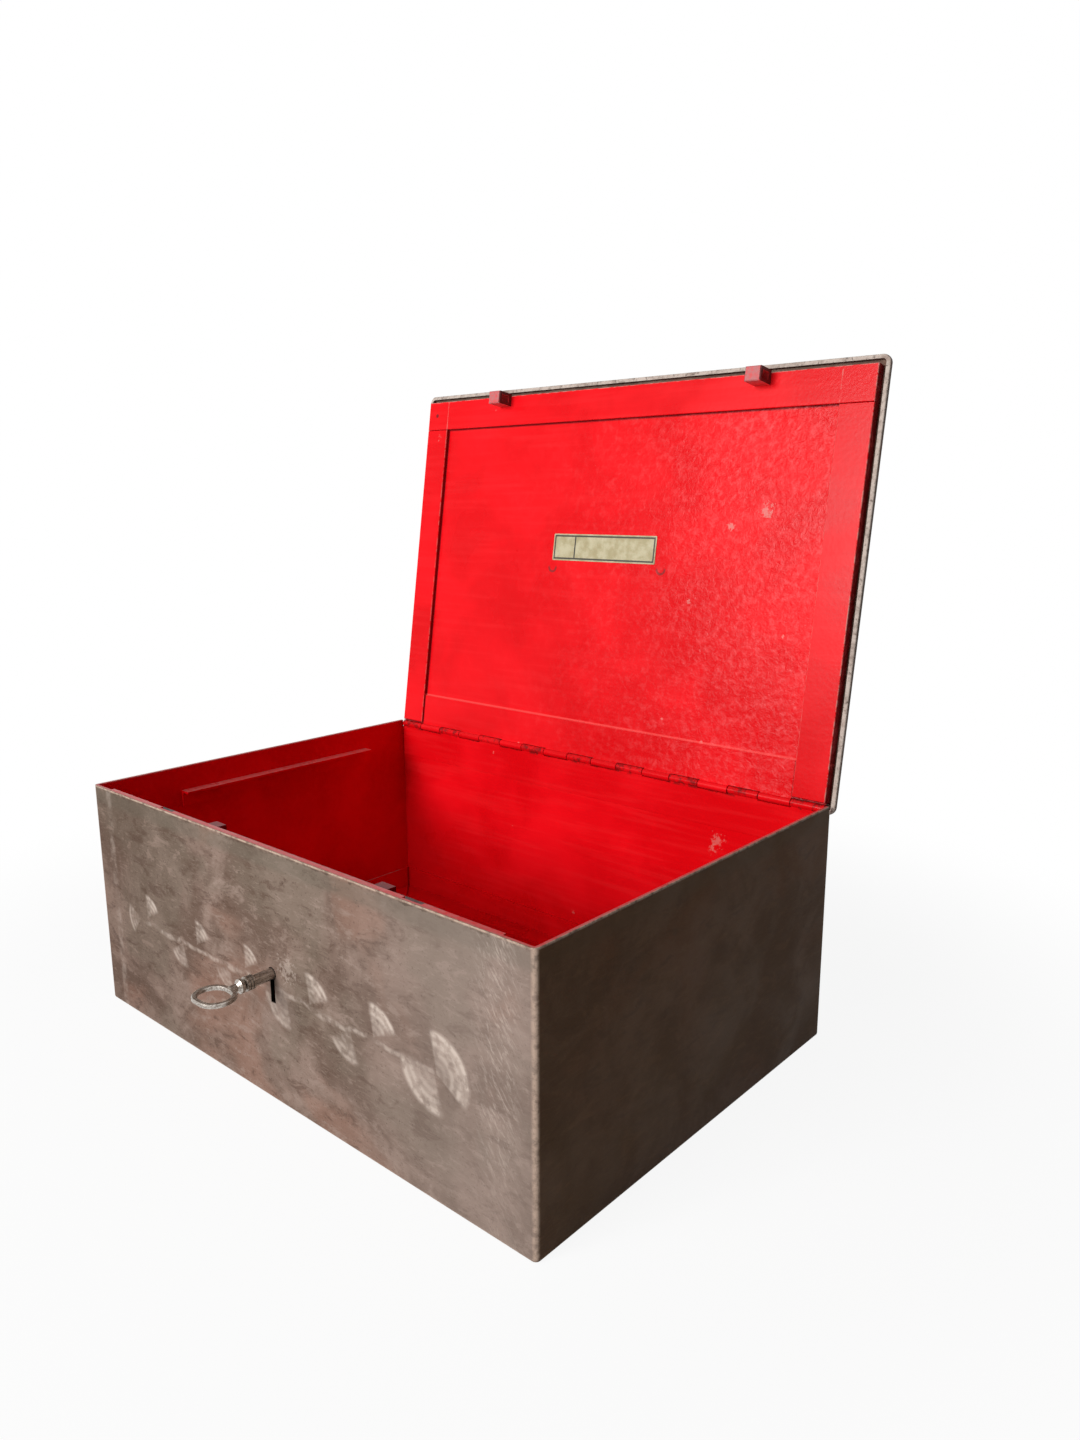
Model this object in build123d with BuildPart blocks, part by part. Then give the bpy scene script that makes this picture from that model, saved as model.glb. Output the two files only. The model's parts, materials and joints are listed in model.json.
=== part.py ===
from build123d import *
import os
from math import cos, radians, sin

# Strongbox: a folded steel body, a double-skinned lid on a long hinge, and a lever lock that
# throws one locking bar into two lugs under the front edge of the lid.
# Millimetres. The origin is the middle of the base, +Z is up and the front faces -Y.
# The lid is modelled open, laid back against its stop.

os.makedirs("parts", exist_ok=True)

# Body
body_width = 380.0
body_depth = 266.0
body_height = 148.0
wall = 2.0
body_corner_radius = 3.0
base_edge_radius = 1.6
inner_corner_radius = 1.0
back_edge_chamfer = 0.8
back_cut_ahead = 1.0

# Small clearances
seat_gap = 0.3
slide_gap = 0.5
pin_gap = 0.05

# Lid
open_angle = 98.7
lid_overhang = 1.5
lid_rim_height = 5.0
lid_rim_width = 2.5
lid_sheet = 2.0
lid_corner_radius = 5.0
lid_edge_radius = 2.6
lid_lip_radius = 0.7
lid_rest_gap = 0.3
lid_stop_gap = 0.1
lining_sheet = 1.5
lining_rise = 1.4
frame_bar_width = 21.5
frame_bar_thickness = 3.0
frame_bar_joint = 0.4
frame_edge_chamfer = 0.3
frame_side_clearance = 1.2

# Hinge
barrel_radius = 2.5
hinge_pin_radius = 1.2
hinge_leaf_thickness = 1.5
hinge_leaf_width = 26.0
knuckle_count = 17
hinge_end_clearance = 1.0

# Lugs and locking bar
lug_inset_left = 86.5
lug_inset_right = 77.0
lug_width = 11.0
lug_height = 9.0
lug_reach = 13.2
lug_wall = 2.0
lug_crown = 2.6
lug_edge_chamfer = 0.6
eye_root = 3.0
strip_thickness = 2.0
strip_height = 26.0
strip_end_margin = 20.0
notch_clearance = 1.2
bar_thickness = 3.0
bar_height = 8.0
bar_end_length = 8.0
bar_corner_radius = 2.0
tongue_height = 4.6
tongue_length = 16.0
tongue_edge_chamfer = 0.4
guide_width = 10.0
guide_inset = 34.0
bolt_throw = 9.0

# Keyhole, key and lock
keyhole_below_rim = 71.0
key_radius = 3.2
keyhole_slot_width = 4.0
keyhole_drop = 17.0
bit_reach = 15.0
bit_thickness = 2.8
bow_length = 21.0
bow_width = 25.0
bow_rod = 3.0
bow_thickness = 2.4
bow_edge_chamfer = 0.6
shank_outside = 26.0
collar_start = 12.0
ridge_count = 3
ridge_pitch = 1.7
ridge_width = 1.1
ridge_radius = 4.1
ball_radius = 4.0
ball_length = 5.0
neck_radius = 2.2
post_radius = 1.4
case_half_width = 46.0
case_height_below = 24.0
case_height_above = 30.0
case_depth = 17.0
case_sheet = 1.5
case_corner_radius = 3.0
plate_left = -28.0
plate_right = 26.0
plate_foot = 3.0
plate_rise = 24.0
arm_half_width = 7.0
lever_count = 3
lever_thickness = 1.4
lever_gap = 0.3
lever_wall_gap = 3.0
lever_step = 1.2
lever_pivot_x = -36.0
lever_pivot_rise = 12.0
lever_pivot_radius = 2.5
lever_hub_radius = 5.0
lever_end_x = 34.0
lever_rise = 25.0
lever_foot_drop = 6.0
lever_corner = 3.0
gate_length = 9.0
gate_height = 4.0
gate_corner_radius = 0.8
gate_inset = 12.0
gate_drop = 8.0

# Inner fittings
floor_angle_leg = 18.0
angle_sheet = 2.0
tray_rail_length = 162.0
tray_rail_below_rim = 16.5
tray_rail_drop = 11.0
tray_rail_shelf = 8.0
tray_rail_sheet = 1.5
tray_rail_shift = 8.0
label_width = 90.0
label_height = 19.0
label_thickness = 0.4
label_corner_radius = 0.8
label_up_lid = 149.0

# Places worked out from the sizes above
half_width = body_width / 2
half_depth = body_depth / 2
inside_x = half_width - wall
inside_y = half_depth - wall
lean = radians(open_angle)
lip_drop = barrel_radius + seat_gap
axis_z = body_height + lid_rest_gap - lip_drop
axis_y = half_depth + (lid_stop_gap - lip_drop * sin(lean) - lid_overhang * cos(lean)) / (1 - cos(lean))
lid_back = half_depth + lid_overhang - axis_y
lid_front = axis_y + half_depth + lid_overhang
lid_plane = Plane(origin=(0, axis_y, axis_z), x_dir=(1, 0, 0), z_dir=(0, -sin(lean), -cos(lean)))
lid_normal = Axis((0, axis_y, axis_z), (0, -sin(lean), -cos(lean)))
lid_floor = lid_rim_height - lid_sheet
lining_face = -lip_drop + lining_rise
frame_face = lining_face + frame_bar_thickness
frame_edge_x = inside_x - frame_side_clearance
frame_front = axis_y + inside_y - strip_thickness - slide_gap
keyhole_height = body_height - keyhole_below_rim
tray_rail_top = body_height - tray_rail_below_rim
frame_back = barrel_radius + 2 * seat_gap
back_wall_top = axis_z - barrel_radius - seat_gap
hinge_half_length = inside_x - hinge_end_clearance
knuckle_pitch = 2 * hinge_half_length / knuckle_count


def save(piece, name):
    """Label a finished piece and write it as one STEP file."""
    piece.part.label = name
    export_step(piece.part, "parts/" + name + ".step")


def lid_point(x, up, rise):
    """A point on the open lid: across, up from the hinge, and out of its inner face."""
    return lid_plane.from_local_coords((x, up, rise))


# Body shell: one folded box. The back wall and its two top corners are cut down, so the hinge
# barrel lies over the wall and the lid's back rim swings past the corners.
with BuildPart() as body_shell:
    with BuildSketch():
        RectangleRounded(body_width, body_depth, body_corner_radius)
    extrude(amount=body_height)
    fillet(body_shell.faces().sort_by(Axis.Z)[0].edges(), base_edge_radius)
    with BuildSketch(Plane.XY.offset(wall)):
        RectangleRounded(2 * inside_x, 2 * inside_y, inner_corner_radius)
    extrude(amount=body_height, mode=Mode.SUBTRACT)
    with BuildSketch(Plane.XY.offset(back_wall_top)):
        with Locations((0, (axis_y - back_cut_ahead + half_depth) / 2)):
            Rectangle(body_width, half_depth - axis_y + back_cut_ahead)
    extrude(amount=body_height, mode=Mode.SUBTRACT)
    with BuildSketch(Plane.YZ.offset(-half_width)):
        with BuildLine():
            Polyline(
                (half_depth, back_wall_top),
                (half_depth - back_edge_chamfer, back_wall_top),
                (half_depth, back_wall_top - back_edge_chamfer),
                close=True,
            )
        make_face()
    extrude(amount=body_width, mode=Mode.SUBTRACT)
    with BuildSketch(Plane.XZ.offset(half_depth)):
        with Locations((0, keyhole_height)):
            Circle(key_radius + slide_gap)
        with Locations((0, keyhole_height - keyhole_drop / 2)):
            Rectangle(keyhole_slot_width, keyhole_drop)
    extrude(amount=-wall, mode=Mode.SUBTRACT)
save(body_shell, "body_shell")

# Front strip: the flat bar that stiffens the mouth, level with its rim and notched for the
# two lugs
lug_places = [lug_inset_left - half_width, half_width - lug_inset_right]
notch_depth = frame_face + lug_reach - (axis_z - body_height) + notch_clearance
strip_half_length = half_width - strip_end_margin
with BuildPart() as front_strip:
    with BuildSketch(Plane.XZ.offset(inside_y)):
        with Locations((0, body_height - strip_height / 2)):
            Rectangle(2 * strip_half_length, strip_height)
        for lug_x in lug_places:
            with Locations((lug_x, body_height - notch_depth / 2)):
                Rectangle(lug_width + 2 * notch_clearance, notch_depth, mode=Mode.SUBTRACT)
    extrude(amount=-strip_thickness)
save(front_strip, "front_strip")


def floor_angle(name, outward, along, wall_distance, half_run):
    """A bottom corner angle: one leg on the floor and one up the wall, its ends mitred."""
    section = Plane(origin=(0, 0, wall), x_dir=outward, z_dir=along)
    floor = Plane(origin=(0, 0, wall), x_dir=along, z_dir=(0, 0, 1))
    with BuildPart() as angle:
        with BuildSketch(section.offset(-half_run)):
            with BuildLine():
                Polyline(
                    (wall_distance, 0),
                    (wall_distance, floor_angle_leg),
                    (wall_distance - angle_sheet, floor_angle_leg),
                    (wall_distance - angle_sheet, angle_sheet),
                    (wall_distance - floor_angle_leg, angle_sheet),
                    (wall_distance - floor_angle_leg, 0),
                    close=True,
                )
            make_face()
        extrude(amount=2 * half_run)
        with BuildSketch(floor):
            for end in (-1, 1):
                with BuildLine():
                    Polyline(
                        (end * half_run, wall_distance),
                        (end * (half_run - floor_angle_leg), wall_distance - floor_angle_leg),
                        (end * half_run, wall_distance - floor_angle_leg),
                        close=True,
                    )
                make_face()
        extrude(amount=floor_angle_leg, mode=Mode.SUBTRACT)
    save(angle, name)


mitre_run_x = inside_x - inner_corner_radius
mitre_run_y = inside_y - inner_corner_radius
floor_angle("floor_angle_back", (0, 1, 0), (1, 0, 0), inside_y, mitre_run_x)
floor_angle("floor_angle_front", (0, -1, 0), (-1, 0, 0), inside_y, mitre_run_x)
floor_angle("floor_angle_left", (-1, 0, 0), (0, 1, 0), inside_x, mitre_run_y)
floor_angle("floor_angle_right", (1, 0, 0), (0, -1, 0), inside_x, mitre_run_y)


def tray_rail(name, side):
    """A short angle on a side wall that carries one end of the coin tray."""
    with BuildPart() as rail:
        section = Plane.XZ.offset(-tray_rail_shift - tray_rail_length / 2)
        with BuildSketch(section):
            with BuildLine():
                Polyline(
                    (side * inside_x, tray_rail_top),
                    (side * (inside_x - tray_rail_shelf), tray_rail_top),
                    (side * (inside_x - tray_rail_shelf), tray_rail_top - tray_rail_sheet),
                    (side * (inside_x - tray_rail_sheet), tray_rail_top - tray_rail_sheet),
                    (side * (inside_x - tray_rail_sheet), tray_rail_top - tray_rail_drop),
                    (side * inside_x, tray_rail_top - tray_rail_drop),
                    close=True,
                )
            make_face()
        extrude(amount=tray_rail_length)
    save(rail, name)


tray_rail("tray_rail_left", -1)
tray_rail("tray_rail_right", 1)


def knuckle_centres(first):
    """Middles of every second knuckle along the hinge."""
    return [-hinge_half_length + knuckle_pitch * (i + 0.5) for i in range(first, knuckle_count, 2)]


def hinge_leaf(name, leaf_plane, first, leaf_low, leaf_high, plate_near, plate_half_length, root_end):
    """One hinge leaf with its knuckles, drawn up its own plane from the barrel's axis."""
    own = knuckle_centres(first)
    knuckle_length = knuckle_pitch - 2 * seat_gap
    end_plane = Plane(origin=leaf_plane.origin, x_dir=leaf_plane.y_dir, z_dir=leaf_plane.x_dir)
    with BuildPart() as leaf:
        with BuildSketch(leaf_plane.offset(leaf_low)):
            with Locations((0, (plate_near + root_end) / 2)):
                Rectangle(2 * hinge_half_length, root_end - plate_near)
            with Locations((0, (plate_near + hinge_leaf_width) / 2)):
                Rectangle(2 * plate_half_length, hinge_leaf_width - plate_near)
            with Locations(*[(x, plate_near / 2) for x in own]):
                Rectangle(knuckle_length, plate_near)
        extrude(amount=leaf_high - leaf_low)
        for x in own:
            with BuildSketch(end_plane.offset(x - knuckle_length / 2)):
                Circle(barrel_radius)
            extrude(amount=knuckle_length)
        with BuildSketch(end_plane.offset(-hinge_half_length)):
            Circle(hinge_pin_radius + pin_gap)
        extrude(amount=2 * hinge_half_length, mode=Mode.SUBTRACT)
    save(leaf, name)


# Hinge: a long pair of leaves, one inside the back wall and one on the lid's lining
leaf_start = barrel_radius + seat_gap
body_leaf_low = axis_y - inside_y
hinge_leaf(
    "hinge_leaf_body",
    Plane(origin=(0, axis_y, axis_z), x_dir=(1, 0, 0), z_dir=(0, 1, 0)),
    0,
    -body_leaf_low - hinge_leaf_thickness,
    -body_leaf_low,
    leaf_start,
    hinge_half_length,
    hinge_leaf_width,
)
hinge_leaf(
    "hinge_leaf_lid",
    lid_plane,
    1,
    lining_face,
    lining_face + hinge_leaf_thickness,
    leaf_start,
    frame_edge_x - frame_bar_width - frame_bar_joint,
    frame_back + frame_bar_joint,
)

with BuildPart() as hinge_pin:
    with BuildSketch(Plane.YZ.offset(-hinge_half_length)):
        with Locations((axis_y, axis_z)):
            Circle(hinge_pin_radius)
    extrude(amount=2 * hinge_half_length)
save(hinge_pin, "hinge_pin")

# Lid shell: the outer skin, a shallow pan with a rounded edge and a plain lip
lid_middle = (lid_front - lid_back) / 2
lid_length = lid_front + lid_back
with BuildPart() as lid_shell:
    with BuildSketch(lid_plane.offset(-lip_drop)):
        with Locations((0, lid_middle)):
            RectangleRounded(body_width + 2 * lid_overhang, lid_length, lid_corner_radius)
    extrude(amount=-lid_rim_height)
    fillet(lid_shell.faces().sort_by(lid_normal)[0].edges(), lid_edge_radius)
    fillet(lid_shell.faces().sort_by(lid_normal)[-1].edges(), lid_lip_radius)
    with BuildSketch(lid_plane.offset(-lip_drop)):
        with Locations((0, lid_middle)):
            RectangleRounded(
                body_width + 2 * lid_overhang - 2 * lid_rim_width,
                lid_length - 2 * lid_rim_width,
                lid_corner_radius - lid_rim_width,
            )
    extrude(amount=-lid_floor, mode=Mode.SUBTRACT)
save(lid_shell, "lid_shell")

# Lid lining: the inner skin, a thin pan turned over on the lid's floor
lining_middle = (frame_front + frame_back) / 2
lining_length = frame_front - frame_back
lining_height = lid_floor + lining_rise
with BuildPart() as lid_lining:
    with BuildSketch(lid_plane.offset(lining_face)):
        with Locations((0, lining_middle)):
            Rectangle(2 * frame_edge_x, lining_length)
    extrude(amount=-lining_height)
    with BuildSketch(lid_plane.offset(lining_face - lining_sheet)):
        with Locations((0, lining_middle)):
            Rectangle(2 * (frame_edge_x - lining_sheet), lining_length - 2 * lining_sheet)
    extrude(amount=-lining_height, mode=Mode.SUBTRACT)
save(lid_lining, "lid_lining")


def frame_bar(name, x, up, across, along):
    """A flat bar of the frame that drops inside the body's mouth when the lid is shut."""
    with BuildPart() as bar:
        with BuildSketch(lid_plane.offset(lining_face)):
            with Locations((x, up)):
                Rectangle(across, along)
        extrude(amount=frame_bar_thickness)
        chamfer(bar.faces().sort_by(lid_normal)[-1].edges(), frame_edge_chamfer)
    save(bar, name)


side_bar_start = frame_back + 2 * frame_bar_joint
side_bar_end = frame_front - frame_bar_width - frame_bar_joint
side_bar_length = side_bar_end - side_bar_start
side_bar_up = (side_bar_end + side_bar_start) / 2
side_bar_x = frame_edge_x - frame_bar_width / 2
frame_bar("frame_bar_front", 0, frame_front - frame_bar_width / 2, 2 * frame_edge_x, frame_bar_width)
frame_bar("frame_bar_left", -side_bar_x, side_bar_up, frame_bar_width, side_bar_length)
frame_bar("frame_bar_right", side_bar_x, side_bar_up, frame_bar_width, side_bar_length)

# Lugs: blocks with an eye through them from side to side, where the tongues enter
lug_front_y = -inside_y + notch_clearance
lug_far = axis_y - lug_front_y
lug_up = lug_far - lug_height / 2
eye_length = lug_reach - eye_root - lug_crown


def lid_lug(name, x):
    """A lug standing on the front frame bar, its eye open along the hinge direction."""
    side_plane = Plane(origin=lid_point(x, lug_up, frame_face), x_dir=lid_plane.y_dir, z_dir=lid_plane.x_dir)
    with BuildPart() as lug:
        with BuildSketch(side_plane.offset(-lug_width / 2)):
            with Locations((0, lug_reach / 2)):
                Rectangle(lug_height, lug_reach)
            with Locations((0, eye_root + eye_length / 2)):
                Rectangle(lug_height - 2 * lug_wall, eye_length, mode=Mode.SUBTRACT)
        extrude(amount=lug_width)
        chamfer(lug.faces().sort_by(lid_normal)[-1].edges(), lug_edge_chamfer)
    save(lug, name)


lid_lug("lid_lug_left", lug_places[0])
lid_lug("lid_lug_right", lug_places[1])

with BuildPart() as label_plate:
    with BuildSketch(lid_plane.offset(lining_face)):
        with Locations((0, label_up_lid)):
            RectangleRounded(label_width, label_height, label_corner_radius)
    extrude(amount=label_thickness)
save(label_plate, "label_plate")

# Locking bar: it slides behind the lugs and carries one tongue for each
eye_middle_z = axis_z - frame_face - eye_root - eye_length / 2
lug_back_y = lug_front_y + lug_height
bar_front_y = lug_back_y + slide_gap
tongue_front_y = lug_front_y + lug_wall + slide_gap
tongue_thickness = lug_height - 2 * lug_wall - 2 * slide_gap
bar_left = lug_places[0] - lug_width / 2 - tongue_length - bar_end_length
bar_right = lug_places[1] + bar_end_length
with BuildPart() as locking_bar:
    with BuildSketch(Plane.XZ.offset(-bar_front_y)):
        with Locations(((bar_left + bar_right) / 2, eye_middle_z)):
            RectangleRounded(bar_right - bar_left, bar_height, bar_corner_radius)
    extrude(amount=-bar_thickness)
save(locking_bar, "locking_bar")


def bar_tongue(name, lug_x):
    """A tongue riveted to the front of the bar and cranked forward into line with the eye."""
    tip = lug_x - lug_width / 2 - slide_gap
    heel = tip - tongue_length
    shoulder = heel + tongue_length - bolt_throw - slide_gap
    with BuildPart() as tongue:
        with BuildSketch(Plane.XY.offset(eye_middle_z - tongue_height / 2)):
            with BuildLine():
                Polyline(
                    (heel, bar_front_y),
                    (heel, tongue_front_y),
                    (tip, tongue_front_y),
                    (tip, tongue_front_y + tongue_thickness),
                    (shoulder, tongue_front_y + tongue_thickness),
                    (shoulder, bar_front_y),
                    close=True,
                )
            make_face()
        extrude(amount=tongue_height)
        chamfer(tongue.faces().sort_by(Axis.X)[-1].edges(), tongue_edge_chamfer)
    save(tongue, name)


bar_tongue("bar_tongue_left", lug_places[0])
bar_tongue("bar_tongue_right", lug_places[1])


def bar_guide(name, x):
    """A staple on the front wall that holds the locking bar and lets it slide."""
    reach = bar_front_y + bar_thickness + slide_gap + inside_y
    window = bar_height + 2 * slide_gap
    with BuildPart() as guide:
        with BuildSketch(Plane.YZ.offset(x - guide_width / 2)):
            with Locations((-inside_y + strip_thickness + (reach - strip_thickness + case_sheet) / 2, eye_middle_z)):
                Rectangle(reach - strip_thickness + case_sheet, window + 2 * case_sheet)
            with Locations((-inside_y + reach / 2, eye_middle_z)):
                Rectangle(reach, window, mode=Mode.SUBTRACT)
        extrude(amount=guide_width)
    save(guide, name)


bar_guide("bar_guide_left", lug_places[0] + guide_inset)
bar_guide("bar_guide_right", lug_places[1] - guide_inset)

# Lock case: a pressed steel box on the front wall, its back plate carrying the key post
case_bottom = keyhole_height - case_height_below
case_top = keyhole_height + case_height_above
case_middle_z = (case_bottom + case_top) / 2
case_height = case_top - case_bottom
case_back_y = -inside_y + case_depth
case_inner_radius = case_corner_radius - case_sheet
with BuildPart() as lock_case:
    with BuildSketch(Plane.XZ.offset(inside_y)):
        with Locations((0, case_middle_z)):
            RectangleRounded(2 * case_half_width, case_height, case_corner_radius)
    extrude(amount=-case_depth)
    with BuildSketch(Plane.XZ.offset(inside_y)):
        with Locations((0, case_middle_z)):
            RectangleRounded(2 * (case_half_width - case_sheet), case_height - 2 * case_sheet, case_inner_radius)
    extrude(amount=-(case_depth - case_sheet), mode=Mode.SUBTRACT)
    with BuildSketch(Plane.XY.offset(case_top - 2 * case_sheet)):
        with Locations((bolt_throw / 2, bar_front_y + bar_thickness / 2)):
            Rectangle(2 * arm_half_width + bolt_throw + 2 * slide_gap, bar_thickness + 2 * slide_gap)
    extrude(amount=4 * case_sheet, mode=Mode.SUBTRACT)
save(lock_case, "lock_case")

# Key post: the fixed pin that the hollow shank turns on
post_end_y = -inside_y + lever_wall_gap
with BuildPart() as key_post:
    with BuildSketch(Plane.XZ.offset(-(case_back_y - case_sheet))):
        with Locations((0, keyhole_height)):
            Circle(post_radius)
    extrude(amount=case_back_y - case_sheet - post_end_y)
save(key_post, "key_post")

# Bolt plate: slides along the case, arched over the key's bit, with an arm up to the bar
bolt_layer_y = bar_front_y
plate_bottom = keyhole_height + key_radius + plate_foot
plate_top = keyhole_height + plate_rise
arch_radius = bit_reach + 2 * slide_gap
with BuildPart() as bolt_plate:
    with BuildSketch(Plane.XZ.offset(-bolt_layer_y)):
        with Locations(((plate_left + plate_right) / 2, (plate_bottom + plate_top) / 2)):
            Rectangle(plate_right - plate_left, plate_top - plate_bottom)
        with Locations((0, (plate_top + eye_middle_z - bar_height / 2) / 2)):
            Rectangle(2 * arm_half_width, eye_middle_z - bar_height / 2 - plate_top)
        with Locations((-bolt_throw, keyhole_height), (0, keyhole_height)):
            Circle(arch_radius, mode=Mode.SUBTRACT)
        with Locations((-bolt_throw / 2, keyhole_height)):
            Rectangle(bolt_throw, 2 * arch_radius, mode=Mode.SUBTRACT)
    extrude(amount=-bar_thickness)
save(bolt_plate, "bolt_plate")

# Levers: a pack of thin plates on one pivot, each belly cut to clear its own step of the bit
lever_pivot_z = keyhole_height + lever_pivot_rise
lever_first_y = post_end_y + seat_gap
lever_pitch = lever_thickness + lever_gap
lever_top = keyhole_height + lever_rise
with BuildPart() as lever_pivot:
    with BuildSketch(Plane.XZ.offset(inside_y)):
        with Locations((lever_pivot_x, lever_pivot_z)):
            Circle(lever_pivot_radius)
    extrude(amount=-(case_depth - case_sheet))
save(lever_pivot, "lever_pivot")

for count in range(lever_count):
    belly_radius = bit_reach - lever_step * (count + 1) + slide_gap
    with BuildPart() as lever:
        with BuildSketch(Plane.XZ.offset(-(lever_first_y + count * lever_pitch))):
            with BuildLine():
                Polyline(
                    (lever_pivot_x, lever_pivot_z - lever_hub_radius),
                    (lever_end_x - lever_corner, lever_pivot_z - lever_foot_drop),
                    (lever_end_x, lever_pivot_z - lever_foot_drop + lever_corner),
                    (lever_end_x, lever_top - lever_corner),
                    (lever_end_x - lever_corner, lever_top),
                    (lever_pivot_x, lever_pivot_z + lever_hub_radius),
                    close=True,
                )
            make_face()
            with Locations((lever_pivot_x, lever_pivot_z)):
                Circle(lever_hub_radius)
            with Locations((lever_pivot_x, lever_pivot_z)):
                Circle(lever_pivot_radius + pin_gap, mode=Mode.SUBTRACT)
            with Locations((0, keyhole_height)):
                Circle(belly_radius, mode=Mode.SUBTRACT)
            with Locations((lever_end_x - gate_inset, lever_top - gate_drop)):
                RectangleRounded(gate_length, gate_height, gate_corner_radius, mode=Mode.SUBTRACT)
        extrude(amount=-lever_thickness)
    save(lever, "lever_" + str(count + 1))

# Key: ring bow, turned collar, hollow shank and a stepped bit, with the bow lying level
key_nose_y = case_back_y - case_sheet - slide_gap
bow_centre_y = -half_depth - shank_outside - bow_length / 2 + bow_rod / 2
shank_end_y = bow_centre_y + bow_length / 2 - bow_rod / 2
collar_y = -half_depth - collar_start
collar_end_y = collar_y - ridge_count * ridge_pitch
ball_y = collar_end_y - ball_length / 2
bit_front_y = -inside_y + slide_gap
key_axis_plane = Plane(origin=(0, 0, keyhole_height), x_dir=(1, 0, 0), z_dir=(0, 0, 1))
with BuildPart() as key:
    with BuildSketch(key_axis_plane):
        with Locations((0, bow_centre_y)):
            SlotOverall(bow_width, bow_length)
            SlotOverall(bow_width - 2 * bow_rod, bow_length - 2 * bow_rod, mode=Mode.SUBTRACT)
    extrude(amount=bow_thickness / 2, both=True)
    chamfer(key.faces().filter_by(Axis.Z).edges(), bow_edge_chamfer)
    with BuildSketch(key_axis_plane):
        with Locations((key_radius / 2, (key_nose_y + collar_end_y) / 2)):
            Rectangle(key_radius, key_nose_y - collar_end_y)
        with Locations((neck_radius / 2, (collar_end_y + shank_end_y) / 2)):
            Rectangle(neck_radius, collar_end_y - shank_end_y)
        for count in range(ridge_count):
            with Locations((ridge_radius / 2, collar_y - (count + 0.5) * ridge_pitch)):
                Rectangle(ridge_radius, ridge_width)
        with BuildLine():
            Polyline(
                (0, ball_y + ball_length / 2),
                (neck_radius, ball_y + ball_length / 2),
                (ball_radius, ball_y + ball_length / 6),
                (ball_radius, ball_y - ball_length / 6),
                (neck_radius, ball_y - ball_length / 2),
                (0, ball_y - ball_length / 2),
                close=True,
            )
        make_face()
    revolve(axis=Axis((0, 0, keyhole_height), (0, 1, 0)))
    with BuildSketch(key_axis_plane.offset(-bit_thickness / 2)):
        with Locations((-bit_reach / 2, (bit_front_y + key_nose_y) / 2)):
            Rectangle(bit_reach, key_nose_y - bit_front_y)
        for count in range(lever_count):
            step_y = lever_first_y + count * lever_pitch + lever_thickness / 2
            with Locations((-bit_reach, step_y)):
                Rectangle(2 * lever_step * (count + 1), lever_pitch, mode=Mode.SUBTRACT)
    extrude(amount=bit_thickness)
    with BuildSketch(Plane.XZ.offset(-key_nose_y)):
        with Locations((0, keyhole_height)):
            Circle(post_radius + pin_gap)
    extrude(amount=key_nose_y - post_end_y + slide_gap, mode=Mode.SUBTRACT)
save(key, "key")
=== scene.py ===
# %% [markdown]
# # A steel strongbox, dressed for the camera
# The box is already modelled to size, piece by piece, so this lesson leaves every shape alone.
# It gives each piece the finish that it has on the real object: old bare steel outside, gloss
# red paint inside, a bright key and a cream plate. Then it sets up the floor, the light and the
# camera.

# %% Load the imported model
import json
from math import radians, sin, cos

import bpy
import bmesh
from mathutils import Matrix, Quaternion, Vector


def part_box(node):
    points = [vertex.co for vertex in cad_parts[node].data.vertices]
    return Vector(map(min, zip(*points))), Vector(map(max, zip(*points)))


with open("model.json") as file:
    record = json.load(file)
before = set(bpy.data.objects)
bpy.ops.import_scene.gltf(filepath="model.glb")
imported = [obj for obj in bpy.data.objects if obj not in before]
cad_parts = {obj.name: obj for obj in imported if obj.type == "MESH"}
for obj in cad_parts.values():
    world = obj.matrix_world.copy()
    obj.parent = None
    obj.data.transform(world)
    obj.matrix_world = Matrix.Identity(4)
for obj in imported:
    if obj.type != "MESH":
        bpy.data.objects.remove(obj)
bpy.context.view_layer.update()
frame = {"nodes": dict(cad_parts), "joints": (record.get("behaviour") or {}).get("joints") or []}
nodes = frame["nodes"]

# %% [markdown]
# ## Sizes the finishes need
# A finish that follows the object has to know where its edges are. The sizes are read from the
# pieces themselves, so the paint still meets the steel at the right line if a size changes.
# The lid leans back, so the directions up along it and out of it come from its joint's angle.

# %% Read the sizes, in millimetres
MM = 1000.0
_, shell_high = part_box("body_shell")
half_width = shell_high.x * MM
half_depth = shell_high.y * MM
body_height = shell_high.z * MM
joints = {joint["name"]: joint for joint in frame["joints"]}
hinge_point = Vector(joints["lid_hinge"]["pos_m"]) * MM
open_angle = radians(joints["lid_hinge"]["range_deg"][1])
lid_up = Vector((0.0, -cos(open_angle), sin(open_angle)))
lid_out = Vector((0.0, -sin(open_angle), -cos(open_angle)))
print("half width", round(half_width, 1), "half depth", round(half_depth, 1))
print("height", round(body_height, 1))


# %% [markdown]
# ## Helpers for nodes
# A material is a small network of nodes. Written out in full, each node takes several lines.
# One helper adds a node and fills its inputs. The other fills a single input, either with a
# plain value or with a link from another node.

# %% Helpers: add a node, fill a socket
def add(tree, kind, inputs=None, **settings):
    """Add a node, change its settings, and fill its inputs with values or links."""
    node = tree.nodes.new(kind)
    for name, value in settings.items():
        setattr(node, name, value)
    for name, value in (inputs or {}).items():
        plug(tree, node.inputs[name], value)
    return node


def plug(tree, socket, value):
    """Link a socket to another node's socket, or give it a plain value."""
    if isinstance(value, bpy.types.NodeSocket):
        tree.links.new(value, socket)
    else:
        socket.default_value = value


print("node helpers ready")


# %% [markdown]
# ## Helpers for masks
# A mask is a number from 0 to 1 that says how much of a finish there is at a point. Masks that
# are multiplied leave only what all of them cover, and the strongest of several keeps what any
# of them covers. A ramp turns a distance in millimetres into a mask with a soft edge.

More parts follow.
